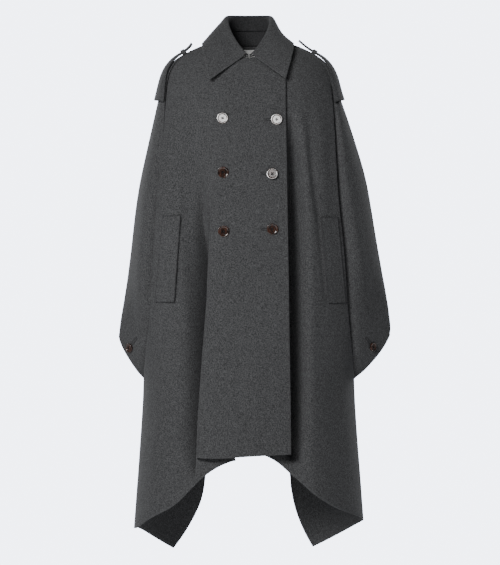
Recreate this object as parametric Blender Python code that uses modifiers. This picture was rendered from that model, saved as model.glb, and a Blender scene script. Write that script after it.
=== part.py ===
"""A long double-breasted wool cape coat with a pointed hem, held by the wearer's shoulders.

Tables are in millimetres, the model is in metres. X runs to the wearer's left, the front faces -Y,
Z is up, and the origin lies between the shoulders at the height of the neck.
A level is the height of a ring round the body, measured at the centre front.
"""

import math

import bmesh
import bpy
import numpy as np
from mathutils import Matrix, Vector
from mathutils.bvhtree import BVHTree

MM = 0.001

# Cloth and sewing
CLOTH = 2.5
COLLAR_CLOTH = 3.0
STRAP_CLOTH = 3.5
LOOP_CLOTH = 1.5
WELT_CLOTH = 2.0
LABEL_CLOTH = 1.0
ARM_SEAM_GAP = 0.3
SIDE_SEAM_GAP = 0.35
COLLAR_SEAM_GAP = 0.4
LAID_ON_GAP = 0.4
WELT_STAND = 0.7

# Buttons: 40 line on the front, 32 line at the arm edges
FRONT_BUTTON_WIDTH = 25.4
ARM_BUTTON_WIDTH = 20.4
BUTTON_THICKNESS = 3.6
BUTTON_STAND = 0.6

# Body form: how square a ring is in plan, and how the shoulder line bends
PLAN_ROUNDNESS = 2.2
SHOULDER_CURVE = 1.6

# Mesh columns: the turn from a seam to its next column, then steps round each side
NEXT_TO_SEAM = math.radians(4.0)
SIDE_STEPS = 7
CREST_STEPS = 5
ARM_HALF_COLUMNS = 6

# Hem: its level at the centre front, and where the fall towards the pointed corners starts
HEM_LEVEL = -946.0
DROP_STARTS = -779.0
DROP_CURVE = 1.5

# Front folds: half the width of a turned fold, and how far from the valley its slope starts
FOLD_TURN = 7.0
VALLEY_SLOPE = 40.0

# Flap top: how far the free corner lies below the neck seam
FLAP_CORNER_DROP = 73.0
FLAP_CORNER_X = 84.0
FLAP_DROP_ENDS = -250.0

# Arm panel lower edge
ARM_EDGE_LEVEL = -779.0
ARM_EDGE_RISE_STARTS = -400.0


class Table:
    """Rows of named sizes against their first column, joined by curves that never overshoot."""

    def __init__(self, names, rows):
        data = np.array(rows, dtype=float)
        data = data[np.argsort(data[:, 0])]
        self.names = names[1:]
        self.keys = data[:, 0]
        self.values = data[:, 1:]
        steps = np.diff(self.keys)[:, None]
        rates = np.diff(self.values, axis=0) / steps
        slopes = np.zeros_like(self.values)
        slopes[0] = rates[0]
        slopes[-1] = rates[-1]
        before = rates[:-1]
        after = rates[1:]
        same_way = before * after > 0
        total = np.where(same_way, before + after, 1.0)
        slopes[1:-1] = np.where(same_way, 2 * before * after / total, 0.0)
        self.slopes = slopes

    def at(self, key):
        key = min(max(key, self.keys[0]), self.keys[-1])
        row = int(np.clip(np.searchsorted(self.keys, key) - 1, 0, len(self.keys) - 2))
        step = self.keys[row + 1] - self.keys[row]
        t = (key - self.keys[row]) / step
        value = (
            (1 + 2 * t) * (1 - t) ** 2 * self.values[row]
            + t * (1 - t) ** 2 * step * self.slopes[row]
            + t * t * (3 - 2 * t) * self.values[row + 1]
            + t * t * (t - 1) * step * self.slopes[row + 1]
        )
        return dict(zip(self.names, value))


# Rings of the worn form. The sides of a ring lie higher than its centre front by side_rise, and its
# centre back by back_rise. seam_share is where the arm seam, and lower down the side seam, runs.
FORM = Table(
    ("level", "side_rise", "back_rise", "half_width", "front_depth", "back_depth", "seam_share"),
    [
        (-34, 46, 42, 68, 72, 58, 0.910),
        (-52, 56, 42, 107, 85, 66, 0.962),
        (-84, 65, 50, 155, 98, 84, 0.975),
        (-101, 68, 48, 177, 105, 96, 0.960),
        (-125, 66, 45, 196, 112, 107, 0.949),
        (-172, 55, 34, 212, 124, 122, 0.915),
        (-214, 42, 22, 229, 134, 130, 0.860),
        (-270, 28, 12, 248, 143, 137, 0.806),
        (-326, 14, 5, 262, 149, 143, 0.775),
        (-390, 3, 1, 269, 154, 147, 0.775),
        (-450, 0, 0, 272, 158, 151, 0.794),
        (-530, 0, 0, 270, 162, 156, 0.822),
        (-610, 0, 0, 264, 165, 161, 0.862),
        (-690, 0, 0, 257, 168, 165, 0.918),
        (-740, 0, 0, 252, 170, 168, 0.962),
        (-779, 0, 0, 248, 171, 170, 0.997),
        (-805, 0, 0, 248, 172, 172, 1.0),
        (-924, 0, 0, 255, 177, 178, 1.0),
        (-985, 0, 0, 260, 180, 182, 1.0),
        (-1070, 0, 0, 266, 185, 188, 1.0),
        (-1130, 0, 0, 270, 189, 193, 1.0),
        (-1310, 0, 0, 278, 200, 205, 1.0),
    ],
)

# The right front folds on itself: its side layer runs behind to the valley, turns back to the ridge
# and turns again into the flap. The lifts say how far each layer stands off the form.
RIGHT_FRONT = Table(
    ("level", "valley", "ridge", "edge", "side_lift", "return_lift", "flap_lift", "edge_lift"),
    [
        (-34, -22, -14, 84, 0, 2, 3, 5),
        (-52, -40, -28, 84, 0, 1.5, 3, 5),
        (-84, -60, -44, 84, 0, 1, 3, 6),
        (-107, -68, -52, 84, 0, 1, 3, 6),
        (-172, -83, -67, 84.5, 0, 1.5, 4, 7),
        (-234, -95, -80, 85.5, -3, 1.5, 6, 9),
        (-338, -104, -84, 87, -9, 0, 9, 12),
        (-487, -104, -90, 88.7, -15, -1, 13, 16),
        (-560, -95, -94, 90, -17, 0, 15, 17),
        (-631, -86, -99, 91, -17, 1, 16, 18),
        (-700, -75, -106, 92, -15, 2, 16, 18),
        (-820, -55, -114, 94, -12, 3, 16, 18),
        (-946, -32, -121, 95, -8, 4, 16, 18),
    ],
)

# The left front lies under the flap; past the flap's edge it shows, with one soft crest.
LEFT_FRONT = Table(
    ("level", "edge", "edge_lift", "middle_lift", "shown_lift", "crest", "crest_lift"),
    [
        (-34, -84, -4.5, -3, -2, 34, 0),
        (-52, -84, -4.5, -3, -2, 60, 0),
        (-84, -84, -4.5, -3, -2, 90, 0),
        (-107, -84, -4.5, -3, -2, 105, 0),
        (-172, -84, -5, -4, -3, 125, 2),
        (-250, -84, -7, -6, -7, 133, 7),
        (-338, -86, -12, -9, -10, 142, 10),
        (-487, -88, -17, -13, -13, 148, 6),
        (-631, -86, -23, -16, -14, 150, 4),
        (-820, -80, -23, -18, -14, 150, 7),
        (-946, -80, -22, -18, -12, 148, 10),
    ],
)

# Arm panels: how far out they reach on each side, and how their sections go round.
# start is high where the panel leaves the seam flat, taper is high where it is pinched.
ARM = Table(
    ("level", "out_right", "out_left", "start", "taper"),
    [
        (-34, 68, 68, 2.0, 0.5),
        (-52, 107, 107, 2.0, 0.5),
        (-84, 155, 155, 2.0, 0.5),
        (-101, 177, 177, 2.0, 0.5),
        (-125, 196, 196, 2.0, 0.5),
        (-172, 212, 213, 2.0, 0.5),
        (-214, 225, 233, 2.0, 0.5),
        (-270, 241, 255, 2.0, 0.55),
        (-326, 257, 276, 2.0, 0.6),
        (-390, 267, 290, 2.0, 0.65),
        (-450, 274, 301, 1.9, 0.7),
        (-530, 285, 314, 1.7, 0.85),
        (-610, 297, 328, 1.5, 1.1),
        (-670, 306, 335, 1.4, 1.3),
        (-779, 307, 334, 1.3, 1.5),
    ],
)
ARM_FOLD_RADIUS = 5.0
ARM_CORNER = {"right": (-680.0, 0.66), "left": (-660.0, 0.58)}

# Height of each lower edge against x.
RIGHT_HEM = Table(
    ("x", "z"),
    [
        (-270, -1128), (-262, -1125), (-239, -1101), (-185, -1070), (-151, -1048),
        (-127, -1013), (-100, -987), (-66, -967), (-32, -956),
    ],
)
FLAP_HEM = Table(("x", "z"), [(-121, -949), (-80, -951), (0, -945), (95, -941)])
LEFT_HEM = Table(
    ("x", "z"),
    [
        (-90, -940), (20, -941), (37, -946), (62, -959), (81, -974), (95, -989), (117, -1006),
        (146, -1032), (181, -1057), (221, -1078), (263, -1100), (270, -1112),
    ],
)

# Back columns from the right seam to the left one: their place across the shoulders as a share, and
# at the hem their x, height and lift. The two lowest ones are the right-angled corners of the cut.
BACK_COLUMNS = ("share", "hem_x", "hem_z", "hem_lift")
BACK = [
    (-1.00, -270, -1128, 0),
    (-0.955, -269, -1130, 0),
    (-0.88, -255, -1143, 0),
    (-0.80, -232, -1165, 4),
    (-0.74, -208, -1184, 8),
    (-0.68, -185, -1200, 10),
    (-0.58, -160, -1169, 8),
    (-0.49, -134, -1125, 2),
    (-0.41, -115, -1085, -6),
    (-0.34, -107, -1045, -12),
    (-0.26, -104, -995, -12),
    (-0.17, -62, -952, -4),
    (-0.085, -31, -944, 2),
    (0.00, 0, -942, 4),
    (0.085, 31, -944, 2),
    (0.17, 60, -952, -4),
    (0.26, 98, -995, -12),
    (0.34, 101, -1048, -12),
    (0.41, 108, -1092, -6),
    (0.48, 122, -1133, 2),
    (0.54, 139, -1169, 7),
    (0.60, 157, -1199, 10),
    (0.69, 184, -1183, 8),
    (0.78, 211, -1165, 4),
    (0.87, 240, -1144, 0),
    (0.955, 266, -1120, 0),
    (1.00, 270, -1112, 0),
]

ROW_LEVELS = [
    -34, -43, -52, -68, -84, -101, -125, -148, -172, -214, -270, -326, -390, -450, -530, -610,
    -690, -740, -779, -802, -832, -868, -907, -946,
]

# Collar, from its front end round to the centre back: neck seam and roll line.
COLLAR = Table(
    ("around", "neck_x", "neck_y", "neck_z", "roll_x", "roll_y", "roll_z"),
    [
        (0.00, 4, -72, -32, 4, -76, -24),
        (0.12, 20, -69, -28, 14, -68, -12),
        (0.28, 42, -56, -14, 30, -50, 12),
        (0.44, 60, -32, 2, 45, -24, 44),
        (0.58, 68, 0, 12, 51, 2, 70),
        (0.74, 58, 30, 11, 45, 30, 78),
        (0.88, 33, 50, 9, 26, 50, 81),
        (1.00, 0, 58, 8, 0, 58, 82),
    ],
)
# The collar's outer edge: where it lies on the form, its lift off it, and how far the collar bulges
# between roll and edge. The left half sinks a little where the right half stays straight.
COLLAR_EDGE_COLUMNS = ("around", "x", "z", "lift", "bulge")
COLLAR_EDGE = {
    "right": Table(
        COLLAR_EDGE_COLUMNS,
        [
            (0.00, 89, -94, 13, 0),
            (0.12, 95, -76, 12, 3),
            (0.28, 100, -44, 11, 4),
            (0.44, 105, -16, 8, 2),
            (0.58, 107, 1, 5, 1),
            (0.74, 92, 1, 8, 1),
            (0.88, 56, -8, 10, 3),
            (1.00, 0, -12, 10, 4),
        ],
    ),
    "left": Table(
        COLLAR_EDGE_COLUMNS,
        [
            (0.00, 83, -91, 13, 0),
            (0.12, 89, -70, 12, 3),
            (0.28, 96, -40, 11, 3),
            (0.44, 101, -16, 8, -2),
            (0.58, 102, 0, 6, -5),
            (0.74, 86, 1, 9, -4),
            (0.88, 55, -8, 10, 1),
            (1.00, 0, -12, 10, 4),
        ],
    ),
}
COLLAR_BACK_STARTS = 0.58
COLLAR_STATIONS = 15
STAND_SHARE = 0.5
ROLL_RADIUS = 4.5

# Shoulder straps on the arm panels, from the sewn lower end to where the free end starts: the
# share round the arm panel of each long edge, and how far the underside of each stands off it.
STRAP_HEADINGS = ("level", "front_edge", "back_edge", "front_lift", "back_lift")
STRAPS = {
    "right": Table(
        STRAP_HEADINGS,
        [
            (-182, 0.02, 0.37, 1.4, 6.0),
            (-150, 0.03, 0.43, 2.6, 5.5),
            (-125, 0.05, 0.52, 2.8, 5.5),
            (-101, 0.10, 0.66, 2.0, 6.5),
            (-84, 0.14, 0.80, 2.0, 8.5),
            (-75, 0.18, 0.80, 2.6, 10.0),
            (-68, 0.30, 0.68, 6.0, 13.0),
        ],
    ),
    "left": Table(
        STRAP_HEADINGS,
        [
            (-182, 0.02, 0.37, 1.4, 6.0),
            (-150, 0.03, 0.43, 2.6, 5.5),
            (-125, 0.05, 0.52, 2.8, 5.5),
            (-101, 0.10, 0.66, 2.0, 6.5),
            (-84, 0.14, 0.80, 1.8, 7.5),
            (-75, 0.18, 0.80, 1.8, 8.0),
            (-68, 0.30, 0.68, 3.0, 8.0),
        ],
    ),
}
# The middle of each strap's free tip, and how much narrower it is there
STRAP_TIPS = {"right": (-133, 8.0), "left": (116, 14.0)}
TIP_SHARE = 0.75
STRAP_ROWS = 13
STRAP_COLUMNS = 5
LOOP_LEVEL = -82.0
LOOP_WIDTH = 6.3
LOOP_STAND = 1.6
# The loop's ends past each edge of the strap, as shares round the arm panel, and their lift
LOOP_FOOT = 0.085
LOOP_RISE = 0.060
LOOP_FOOT_LIFT = 0.8
LOOP_RISE_SHARE = 0.6

# Pocket welts: x of the inner and outer edges at the top and bottom, and the two heights.
WELT_COLUMNS = ("inner_top", "outer_top", "inner_bottom", "outer_bottom", "top", "bottom")
WELTS = {
    "right": (-155, -197, -169, -216, -400, -599),
    "left": (161, 203, 180, 222, -404, -601),
}

# Buttons: x and height of each centre.
FRONT_BUTTONS = {
    "front_button_top_right": (-60, -179),
    "front_button_top_left": (63, -182),
    "front_button_middle_right": (-58, -304),
    "front_button_middle_left": (53, -307),
    "front_button_bottom_right": (-57, -438),
    "front_button_bottom_left": (53, -433),
}
ARM_BUTTONS = {"right": (-278, -706), "left": (288, -703)}

LABEL_WIDTH = 52.0
LABEL_TOP = 1.0
LABEL_BOTTOM = -34.0

# Half section of a button from its middle to its underside: shares of its radius and thickness
BUTTON_PROFILE = [
    (0.0, 0.66), (0.52, 0.66), (0.66, 1.0), (0.86, 1.0), (1.0, 0.55), (0.84, 0.0), (0.0, 0.0),
]
BUTTON_FACETS = 16

WOOL = (0.055, 0.057, 0.060, 1.0)
HORN = (0.060, 0.045, 0.038, 1.0)
LABEL_GREY = (0.55, 0.55, 0.55, 1.0)


def fade(value, start, end):
    """0 before start, 1 past end, smooth between."""
    t = min(max((value - start) / (end - start), 0.0), 1.0)
    return t * t * (3 - 2 * t)


def blend(a, b, t):
    return a + (b - a) * t


def form_point(x, level, back=False):
    """The point of the form's ring at x, on the front or the back."""
    ring = FORM.at(level)
    share = min(abs(x) / ring["half_width"], 1.0)
    depth = ring["back_depth"] if back else -ring["front_depth"]
    middle_rise = ring["back_rise"] if back else 0.0
    y = depth * (1 - share ** PLAN_ROUNDNESS) ** (1 / PLAN_ROUNDNESS)
    z = level + blend(middle_rise, ring["side_rise"], share ** SHOULDER_CURVE)
    return np.array([x, y, z])


def level_at(x, z, back=False):
    """The level of the ring that passes x at height z."""
    low, high = FORM.keys[0], FORM.keys[-1]
    for _ in range(40):
        middle = (low + high) / 2
        if form_point(x, middle, back)[2] < z:
            low = middle
        else:
            high = middle
    return (low + high) / 2


def lifted_form_point(x, z, lift, back=False):
    """A point at x and height z of the form, moved out square to it."""
    level = level_at(x, z, back)
    here = form_point(x, level, back)
    inward_x = x - math.copysign(1.0, x if x else 1.0)
    along = form_point(inward_x, level, back) - here
    down = form_point(x, level - 1.0, back) - here
    normal = np.cross(along, down)
    normal = normal / np.linalg.norm(normal)
    if normal[1] * (1 if back else -1) < 0:
        normal = -normal
    return here + normal * lift


def through(points, counts):
    """A smooth curve through the points, with counts[i] steps between point i and the next."""
    points = [np.array(p, dtype=float) for p in points]
    first = 2 * points[0] - points[1]
    last = 2 * points[-1] - points[-2]
    points = [first] + points + [last]
    curve = []
    for i, count in enumerate(counts):
        p0, p1, p2, p3 = points[i:i + 4]
        k1 = math.sqrt(np.linalg.norm(p1 - p0))
        k2 = math.sqrt(np.linalg.norm(p2 - p1))
        k3 = math.sqrt(np.linalg.norm(p3 - p2))
        m1 = ((p1 - p0) / k1 - (p2 - p0) / (k1 + k2) + (p2 - p1) / k2) * k2
        m2 = ((p2 - p1) / k2 - (p3 - p1) / (k2 + k3) + (p3 - p2) / k3) * k2
        for step in range(count):
            t = step / count
            curve.append(
                (1 + 2 * t) * (1 - t) ** 2 * p1 + t * (1 - t) ** 2 * m1
                + t * t * (3 - 2 * t) * p2 + t * t * (t - 1) * m2
            )
    curve.append(points[-2])
    return curve


def off_form(x, level, lift, back=False):
    """A point of the form moved straight out by lift, along Y."""
    point = form_point(x, level, back)
    point[1] += lift if back else -lift
    return point


def near_hem(level):
    """0 down to where the arm panels end, growing to 1 at the hem."""
    return max((level - DROP_STARTS) / (HEM_LEVEL - DROP_STARTS), 0.0) ** DROP_CURVE


def dropped(level, hem_z):
    """A level of the plain coat lowered towards the hem so that the last one lies at hem_z."""
    return level + (hem_z - HEM_LEVEL) * near_hem(level)


def turn_of(x, half_width):
    """How far round the body x lies, from 0 at the centre to a quarter turn at the side."""
    return math.asin(min(x / half_width, 1.0))


def round_side(seam, inner, half_width, steps):
    """x values from the seam round the side to inner, the first close to the seam."""
    first = turn_of(seam, half_width)
    last = turn_of(inner, half_width)
    turns = [first, first - NEXT_TO_SEAM] + [blend(first, last, i / steps) for i in range(1, steps)]
    return [half_width * math.sin(turn) for turn in turns]


def flap_drop(level, x):
    """How far the crossing part of a front lies below the neck seam at its top."""
    share = min(max(x / FLAP_CORNER_X, 0.0), 1.3)
    return FLAP_CORNER_DROP * share * (1 - fade(level, ROW_LEVELS[0], FLAP_DROP_ENDS))


def right_front_grid():
    """Points of the right front from its side seam round both folds to the flap's free edge."""
    rows = []
    turn = FOLD_TURN
    counts = (1, 2, 2, 3, 2, 2, 3, 3)
    for level in ROW_LEVELS:
        row = RIGHT_FRONT.at(level)
        side_level = dropped(level, RIGHT_HEM.values[0][0])
        seam_ring = FORM.at(side_level)
        seam = seam_ring["half_width"] * seam_ring["seam_share"]
        edge = row["edge"]
        overlap = row["valley"] - row["ridge"]
        back_turn = min(max(overlap / 3, -turn), turn)
        inner = row["valley"] - min(VALLEY_SLOPE, 0.5 * (seam + row["valley"]))
        side = [(-x, 0.0) for x in round_side(seam, -inner, seam_ring["half_width"], SIDE_STEPS)]
        keys = [
            (inner, row["side_lift"] * 0.5),
            (row["valley"] - turn, row["side_lift"]),
            (row["valley"], (row["side_lift"] + row["return_lift"]) / 2),
            (row["valley"] - back_turn, row["return_lift"]),
            (row["ridge"] + back_turn, row["return_lift"] + 0.5),
            (row["ridge"], (row["return_lift"] + row["flap_lift"]) / 2),
            (row["ridge"] + turn, row["flap_lift"]),
            (blend(row["ridge"], edge, 0.5), blend(row["flap_lift"], row["edge_lift"], 0.4)),
            (edge, row["edge_lift"]),
        ]
        curve = side + through(keys, counts)
        side_points = len(side) + sum(counts[:2]) + 1
        line = []
        for index, (x, lift) in enumerate(curve):
            if index <= side_points:
                hem = RIGHT_HEM.at(x)["z"]
            else:
                hem = FLAP_HEM.at(x)["z"]
            point_level = dropped(level, hem) - flap_drop(level, x)
            line.append(off_form(x, point_level, lift))
        line[0][0] += ARM_SEAM_GAP
        line[0][1] = min(line[0][1], -SIDE_SEAM_GAP)
        rows.append(line)
    return rows


def left_front_grid():
    """Points of the left front from its hidden edge over the crest to its side seam."""
    rows = []
    counts = (3, 4, 4)
    for level in ROW_LEVELS:
        row = LEFT_FRONT.at(level)
        side_level = dropped(level, LEFT_HEM.values[-1][0])
        seam_ring = FORM.at(side_level)
        seam = seam_ring["half_width"] * seam_ring["seam_share"]
        edge = row["edge"]
        middle = blend(edge, row["crest"], 0.4)
        shown = blend(edge, row["crest"], 0.75)
        keys = [
            (edge, row["edge_lift"]),
            (middle, row["middle_lift"]),
            (shown, row["shown_lift"]),
            (row["crest"], row["crest_lift"]),
        ]
        side = []
        for x in round_side(seam, row["crest"], seam_ring["half_width"], CREST_STEPS):
            share = (seam - x) / (seam - row["crest"])
            side.append((x, row["crest_lift"] * fade(share, 0.0, 1.2)))
        line = []
        for x, lift in through(keys, counts) + side[::-1]:
            point_level = dropped(level, LEFT_HEM.at(x)["z"]) - flap_drop(level, -x)
            line.append(off_form(x, point_level, lift))
        line[-1][0] -= ARM_SEAM_GAP
        line[-1][1] = min(line[-1][1], -SIDE_SEAM_GAP)
        rows.append(line)
    return rows


def back_grid():
    """Points of the back from its right side seam to its left one."""
    rows = []
    for level in ROW_LEVELS:
        line = []
        hem_share = near_hem(level)
        for column in BACK:
            spot = dict(zip(BACK_COLUMNS, column))
            point_level = dropped(level, spot["hem_z"])
            ring = FORM.at(point_level)
            hem_ratio = spot["hem_x"] / FORM.at(spot["hem_z"])["half_width"]
            seam = ring["half_width"] * ring["seam_share"]
            edge = abs(spot["share"]) == 1.0
            turn = turn_of(seam, ring["half_width"]) * spot["share"]
            x = ring["half_width"] * math.sin(turn)
            if not edge:
                x = ring["half_width"] * blend(math.sin(turn), hem_ratio, hem_share)
            point = off_form(x, point_level, spot["hem_lift"] * hem_share, back=True)
            if edge:
                point[0] -= math.copysign(ARM_SEAM_GAP, x)
                point[1] = max(point[1], SIDE_SEAM_GAP)
            line.append(point)
        rows.append(line)
    return rows


def arm_point(side, level, share):
    """A point of an arm panel at share 0 (front seam) to 1 (back seam) of the ring at a level."""
    ring = FORM.at(level)
    row = ARM.at(level)
    out = row["out_" + side]
    seam = ring["half_width"] * ring["seam_share"] + ARM_SEAM_GAP
    back = share > 0.5
    seam_point = form_point(seam, level, back)
    along = math.sin(math.pi * share)
    reach = max(out - seam, 1.0)
    radius = min(ARM_FOLD_RADIUS, 0.4 * reach, 0.4 * abs(seam_point[1]))
    cap_start = 1 - radius / reach
    cap = max((along - cap_start) / (1 - cap_start), 0.0)
    swell = (1 - along ** row["start"]) ** row["taper"] if along < 1 else 0.0
    y = (abs(seam_point[1]) - radius) * swell + radius * math.sqrt(max(1 - cap * cap, 0.0))
    x = seam + reach * along
    across = min(x / max(out, ring["half_width"]), 1.0)
    middle_rise = ring["back_rise"] if back else 0.0
    seam_across = seam / ring["half_width"]
    start_z = blend(middle_rise, ring["side_rise"], seam_across ** SHOULDER_CURVE)
    z = level + blend(start_z, ring["side_rise"], along)
    sign = -1 if side == "right" else 1
    return np.array([sign * x, y if back else -y, z])


def arm_grid(side):
    """Points of an arm panel from its front seam round the outside to its back seam."""
    corner_level, curve = ARM_CORNER[side]
    columns = 2 * ARM_HALF_COLUMNS
    top = ROW_LEVELS[0]
    levels = [level for level in ROW_LEVELS if level >= ARM_EDGE_LEVEL]
    rows = []
    for level in levels:
        line = []
        for column in range(columns + 1):
            share = column / columns
            along = math.sin(math.pi * share)
            bottom = corner_level + (ARM_EDGE_LEVEL - corner_level) * (1 - along) ** curve
            rise = (bottom - ARM_EDGE_LEVEL) * fade(level, ARM_EDGE_RISE_STARTS, ARM_EDGE_LEVEL)
            line.append(arm_point(side, min(level + rise, top), share))
        rows.append(line)
    return rows


def collection_named(name):
    collection = bpy.data.collections.new(name)
    bpy.context.scene.collection.children.link(collection)
    return collection


def material_named(name, colour, roughness):
    material = bpy.data.materials.new(name)
    material.use_nodes = True
    shader = material.node_tree.nodes["Principled BSDF"]
    shader.inputs["Base Color"].default_value = colour
    shader.inputs["Roughness"].default_value = roughness
    shader.inputs["Metallic"].default_value = 0.0
    return material


def surface(rows, outward):
    """An open mesh lofted through rows of points; outward(centre) says which way is out."""
    mesh_data = bmesh.new()
    points = [[mesh_data.verts.new(Vector(p) * MM) for p in row] for row in rows]
    for upper, lower in zip(points, points[1:]):
        for i in range(len(upper) - 1):
            mesh_data.faces.new((upper[i], upper[i + 1], lower[i + 1], lower[i]))
    mesh_data.normal_update()
    mesh_data.faces.ensure_lookup_table()
    face = mesh_data.faces[len(mesh_data.faces) // 2]
    if face.normal.dot(Vector(outward(face.calc_center_median()))) < 0:
        bmesh.ops.reverse_faces(mesh_data, faces=mesh_data.faces[:])
    return mesh_data


def cloth_object(name, rows, material, thickness, outward, offset=-1.0):
    """A cloth wall: the lofted surface with a Solidify that adds its thickness."""
    mesh_data = surface(rows, outward)
    tree = BVHTree.FromBMesh(mesh_data)
    mesh = bpy.data.meshes.new(name)
    mesh_data.to_mesh(mesh)
    mesh_data.free()
    mesh.materials.append(material)
    mesh.shade_smooth()
    piece = bpy.data.objects.new(name, mesh)
    COAT.objects.link(piece)
    wall = piece.modifiers.new("Wall", "SOLIDIFY")
    wall.thickness = thickness * MM
    wall.offset = offset
    return tree


def from_axis(centre):
    """Out of the body, away from the vertical axis."""
    return (centre.x, centre.y, 0.0)


def on_panel(tree, x, z, towards_back=True, start_y=-1.0):
    """The place and outward normal of the panel that a line along Y meets at x and z."""
    direction = Vector((0, 1, 0)) if towards_back else Vector((0, -1, 0))
    place, normal, _, _ = tree.ray_cast(Vector((x * MM, start_y, z * MM)), direction)
    return place, normal


def patch_rows(tree, corners, steps_down, steps_across, lift):
    """Rows of points on a panel inside four corners given in x and z, moved out by lift."""
    top_left, top_right, bottom_left, bottom_right = (np.array(c, dtype=float) for c in corners)
    rows = []
    for i in range(steps_down + 1):
        left = blend(top_left, bottom_left, i / steps_down)
        right = blend(top_right, bottom_right, i / steps_down)
        line = []
        for j in range(steps_across + 1):
            x, z = blend(left, right, j / steps_across)
            place, normal = on_panel(tree, x, z)
            line.append(np.array(place + normal * lift * MM) / MM)
        rows.append(line)
    return rows


def collar_sections():
    """For stations from the right front end round the back to the left one: the visible face's
    points from the neck seam over the roll to the outer edge."""
    sections = []
    half = [i / (COLLAR_STATIONS - 1) for i in range(COLLAR_STATIONS)]
    stations = [(-1, around) for around in half] + [(1, around) for around in reversed(half[:-1])]
    for sign, around in stations:
        row = COLLAR.at(around)
        rim = COLLAR_EDGE["right" if sign < 0 else "left"].at(around)
        behind = around > COLLAR_BACK_STARTS
        neck = np.array([row["neck_x"], row["neck_y"], row["neck_z"]])
        roll = np.array([row["roll_x"], row["roll_y"], row["roll_z"]])
        edge = lifted_form_point(rim["x"], rim["z"], rim["lift"], behind)
        out = edge - roll
        out[2] = 0.0
        out = out / np.linalg.norm(out)
        up = np.array([0.0, 0.0, 1.0])
        inner = neck - out * COLLAR_CLOTH + up
        roll_in = roll - up * ROLL_RADIUS
        roll_top = roll + out * ROLL_RADIUS * 0.9
        roll_out = roll + out * ROLL_RADIUS * 2 - up * ROLL_RADIUS * 1.6
        swell = (out + up * 0.8) * rim["bulge"]
        middle = (roll_out + edge) / 2 + swell
        mirror = np.array([sign, 1.0, 1.0])
        seam = blend(inner, roll_in, STAND_SHARE)
        stand = [inner, blend(inner, seam, 0.5), seam - up * COLLAR_SEAM_GAP]
        first = seam + up * COLLAR_SEAM_GAP
        fall = through([first, roll_in, roll_top, roll_out, middle, edge], (2, 1, 1, 3, 3))
        sections.append(([p * mirror for p in stand], [p * mirror for p in fall]))
    return sections


def strap_rows(side):
    """Points of a shoulder strap's underside from its sewn end to its free tip."""
    table = STRAPS[side]
    levels = np.linspace(table.keys[0], table.keys[-1], STRAP_ROWS)
    rows = []
    for level in levels:
        row = table.at(level)
        line = []
        for column in range(STRAP_COLUMNS + 1):
            across = column / STRAP_COLUMNS
            share = blend(row["front_edge"], row["back_edge"], across)
            lift = blend(row["front_lift"], row["back_lift"], across)
            line.append(lifted_arm_point(side, level, share, lift))
        rows.append(line)
    free = np.array(rows[-1])
    middle = free.mean(0)
    tip = np.array([STRAP_TIPS[side][0], middle[1], STRAP_TIPS[side][1]])
    for reach in (0.5, 1.0):
        narrowed = middle + (free - middle) * blend(1.0, TIP_SHARE, reach)
        rows.append(list(narrowed + (tip - middle) * reach))
    return rows


def lifted_arm_point(side, level, share, lift):
    """A point of an arm panel moved out square to it."""
    step = 0.02
    here = arm_point(side, level, share)
    along = arm_point(side, level, share + step) - arm_point(side, level, max(share - step, 0.0))
    down = arm_point(side, level - 1.0, share) - arm_point(side, level + 1.0, share)
    normal = np.cross(along, down)
    normal = normal / np.linalg.norm(normal)
    up_and_out = np.array([here[0], here[1], 60.0])
    if np.dot(normal, up_and_out) < 0:
        normal = -normal
    return here + normal * lift


def loop_rows(side):
    """The loop that holds a shoulder strap down: over the strap and onto the panel at both sides."""
    row = STRAPS[side].at(LOOP_LEVEL)
    stand = STRAP_CLOTH + LOOP_STAND
    over_front = row["front_lift"] + stand
    over_back = row["back_lift"] + stand
    width = row["back_edge"] - row["front_edge"]
    spots = [
        (row["front_edge"] - LOOP_FOOT, LOOP_FOOT_LIFT),
        (row["front_edge"] - LOOP_RISE, LOOP_RISE_SHARE * over_front),
    ]
    for column in range(STRAP_COLUMNS + 1):
        across = column / STRAP_COLUMNS
        share = row["front_edge"] - 0.01 + (width + 0.02) * across
        spots.append((share, blend(over_front, over_back, across)))
    spots += [
        (row["back_edge"] + LOOP_RISE, LOOP_RISE_SHARE * over_back),
        (row["back_edge"] + LOOP_FOOT, LOOP_FOOT_LIFT),
    ]
    rows = []
    for level in (LOOP_LEVEL + LOOP_WIDTH / 2, LOOP_LEVEL - LOOP_WIDTH / 2):
        rows.append([lifted_arm_point(side, level, share, lift) for share, lift in spots])
    return rows


def button(name, place, normal, width):
    """A turned horn button: a rounded rim round a shallow dish, facing out of the cloth."""
    mesh_data = bmesh.new()
    points = []
    for across, height in BUTTON_PROFILE:
        spot = Vector((across * width / 2, 0, height * BUTTON_THICKNESS))
        points.append(mesh_data.verts.new(spot * MM))
    for a, b in zip(points, points[1:]):
        mesh_data.edges.new((a, b))
    mesh = bpy.data.meshes.new(name)
    mesh_data.to_mesh(mesh)
    mesh_data.free()
    mesh.materials.append(HORN_MATERIAL)
    piece = bpy.data.objects.new(name, mesh)
    COAT.objects.link(piece)
    turned = piece.modifiers.new("Turned", "SCREW")
    turned.angle = 2 * math.pi
    turned.steps = BUTTON_FACETS
    turned.render_steps = BUTTON_FACETS
    turned.use_merge_vertices = True
    turned.merge_threshold = 0.00001
    side = normal.cross(Vector((0, 0, 1))).normalized()
    up = normal.cross(side).normalized()
    frame = Matrix((side, up, normal)).transposed().to_4x4()
    frame.translation = place + normal * BUTTON_STAND * MM
    piece.matrix_world = frame


for old in list(bpy.data.objects):
    bpy.data.objects.remove(old)

COAT = collection_named("wool_cape_coat")
HORN_MATERIAL = material_named("horn", HORN, 0.3)


def wool(name):
    return material_named(name + "_wool", WOOL, 0.95)


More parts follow.
